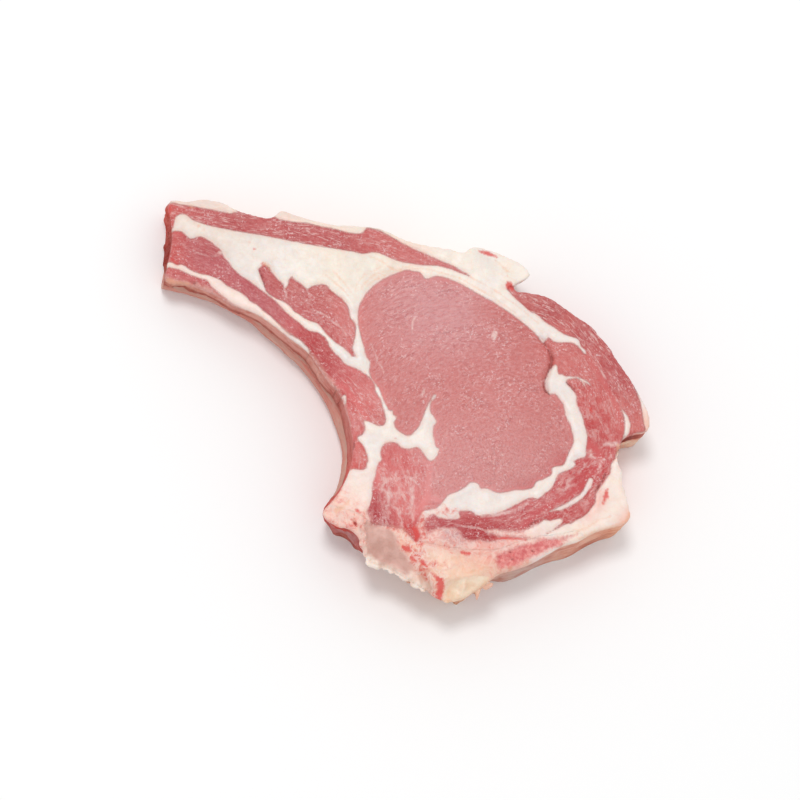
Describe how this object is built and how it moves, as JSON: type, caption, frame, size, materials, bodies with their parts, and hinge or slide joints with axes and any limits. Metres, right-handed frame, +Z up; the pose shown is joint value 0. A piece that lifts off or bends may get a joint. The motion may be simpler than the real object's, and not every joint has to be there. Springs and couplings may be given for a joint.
{
  "type": "raw veal chop",
  "caption": "Raw veal rib chop lying flat: a round eye of lean in a band of fat, a cap muscle, a long curved rib and half of a backbone joint.",
  "frame": {"origin": "under the middle of the chop, on the plane it lies on", "axes": "+Z up through the thickness, +X from the rib's sawn end towards the outer end of the meat, +Y towards the fat side, away from the backbone"},
  "size_m": [0.1708, 0.1428, 0.0259],
  "materials": {
    "meat": "moist raw lean and fat",
    "backbone": "sawn bone and cartilage",
    "rib": "bone under a thin moist membrane"
  },
  "bodies": {
    "root": {"meat": "meat", "backbone": "backbone", "rib": "rib"}
  },
  "joints": []
}
